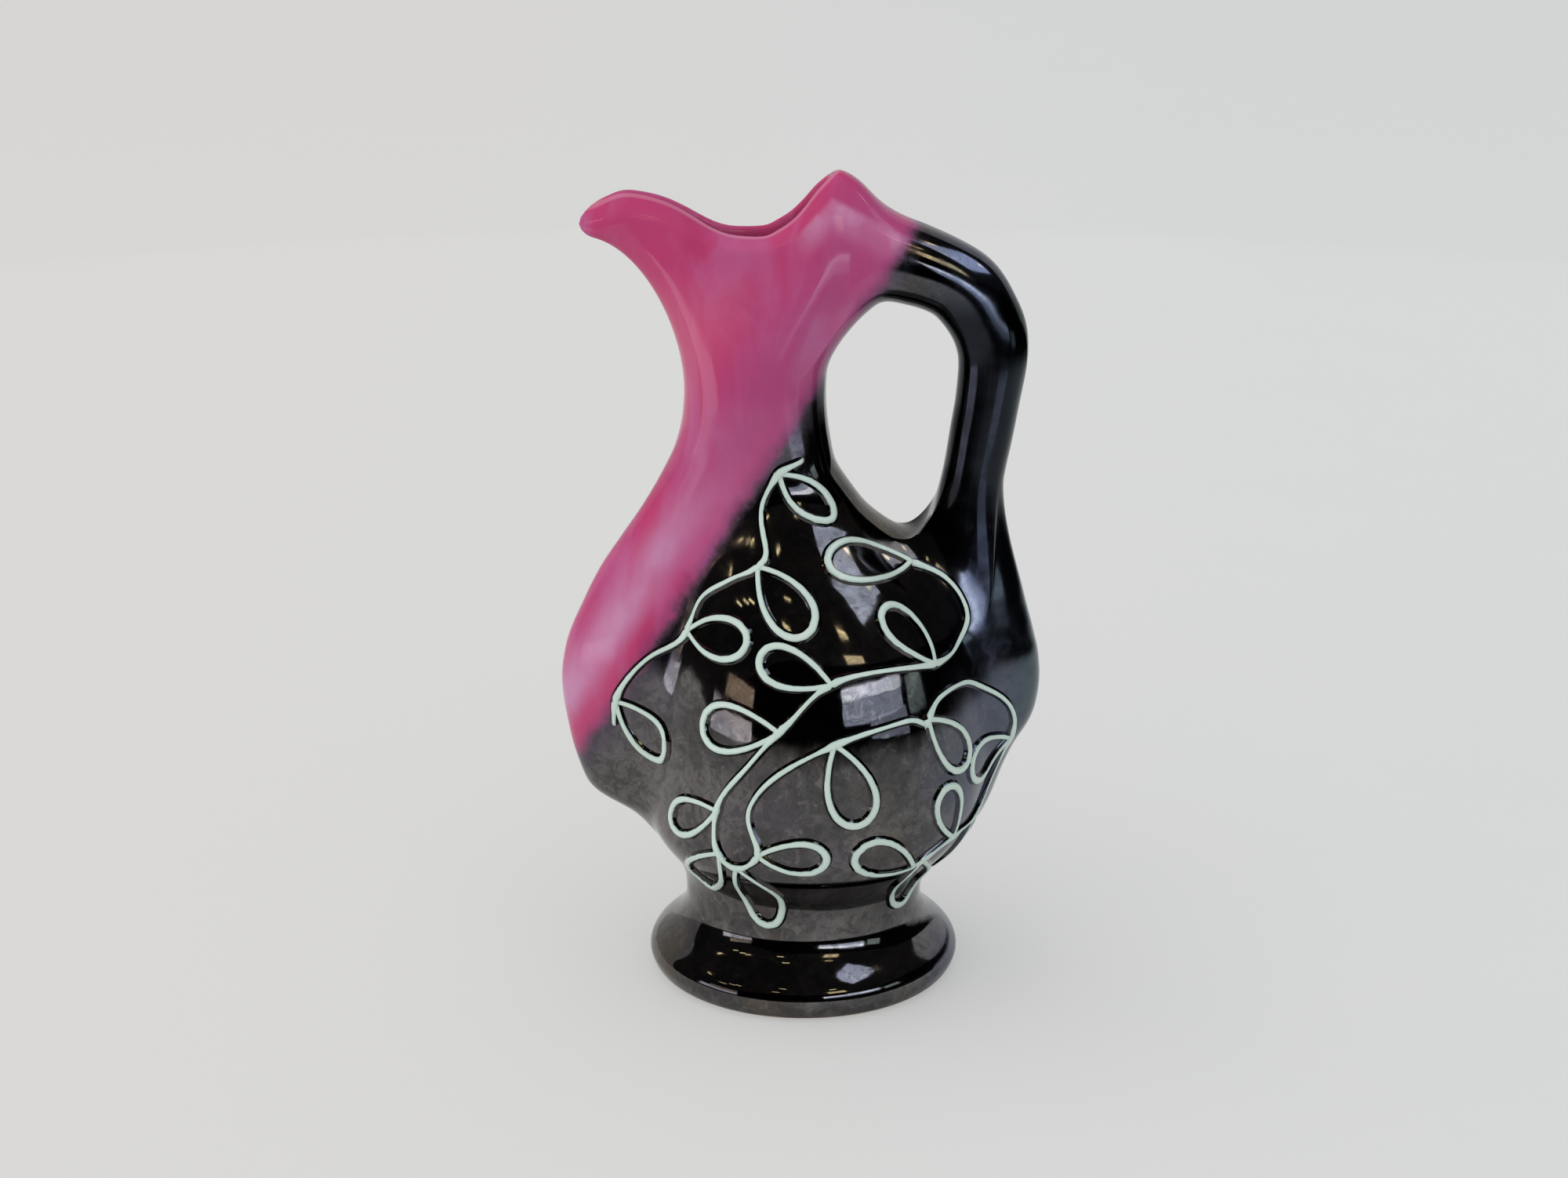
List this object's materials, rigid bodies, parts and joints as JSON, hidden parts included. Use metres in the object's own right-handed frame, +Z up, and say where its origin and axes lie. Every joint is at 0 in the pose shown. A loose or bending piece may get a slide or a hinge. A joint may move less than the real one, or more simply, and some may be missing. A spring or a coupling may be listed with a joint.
{
  "type": "ceramic jug",
  "caption": "Footed pouring jug with a pink beak spout and neck, a black lustre belly and loop handle, and a raised pale leafy vine trailed over the belly.",
  "frame": {"origin": "middle of the sole, in the plane that the jug stands on", "axes": "+Z up, spout towards -X, handle towards +X, the jug alike on both sides of the XZ plane"},
  "size_m": [0.146, 0.1074, 0.2493],
  "materials": {
    "body_glaze": "glossy black lustre glaze below a slanting line, glossy pink glaze above it",
    "handle_glaze": "glossy black lustre glaze",
    "enamel": "glossy raised trailed enamel"
  },
  "bodies": {
    "root": {"body": "body_glaze", "handle": "handle_glaze", "left_vine_1_leaf_1": "enamel", "left_vine_1_leaf_2": "enamel", "left_vine_1_leaf_3": "enamel", "left_vine_1_leaf_4": "enamel", "left_vine_1_stem": "enamel", "left_vine_2_leaf_1": "enamel", "left_vine_2_leaf_2": "enamel", "left_vine_2_leaf_3": "enamel", "left_vine_2_leaf_4": "enamel", "left_vine_2_leaf_5": "enamel", "left_vine_2_leaf_6": "enamel", "left_vine_2_leaf_7": "enamel", "left_vine_2_leaf_8": "enamel", "left_vine_2_leaf_9": "enamel", "left_vine_2_stem": "enamel", "left_vine_3_leaf_1": "enamel", "left_vine_3_leaf_2": "enamel", "left_vine_3_leaf_3": "enamel", "left_vine_3_leaf_4": "enamel", "left_vine_3_leaf_5": "enamel", "left_vine_3_leaf_6": "enamel", "left_vine_3_stem": "enamel", "right_vine_1_leaf_1": "enamel", "right_vine_1_leaf_2": "enamel", "right_vine_1_leaf_3": "enamel", "right_vine_1_leaf_4": "enamel", "right_vine_1_stem": "enamel", "right_vine_2_leaf_1": "enamel", "right_vine_2_leaf_2": "enamel", "right_vine_2_leaf_3": "enamel", "right_vine_2_leaf_4": "enamel", "right_vine_2_leaf_5": "enamel", "right_vine_2_leaf_6": "enamel", "right_vine_2_leaf_7": "enamel", "right_vine_2_leaf_8": "enamel", "right_vine_2_leaf_9": "enamel", "right_vine_2_stem": "enamel", "right_vine_3_leaf_1": "enamel", "right_vine_3_leaf_2": "enamel", "right_vine_3_leaf_3": "enamel", "right_vine_3_leaf_4": "enamel", "right_vine_3_leaf_5": "enamel", "right_vine_3_leaf_6": "enamel", "right_vine_3_stem": "enamel"}
  },
  "joints": []
}
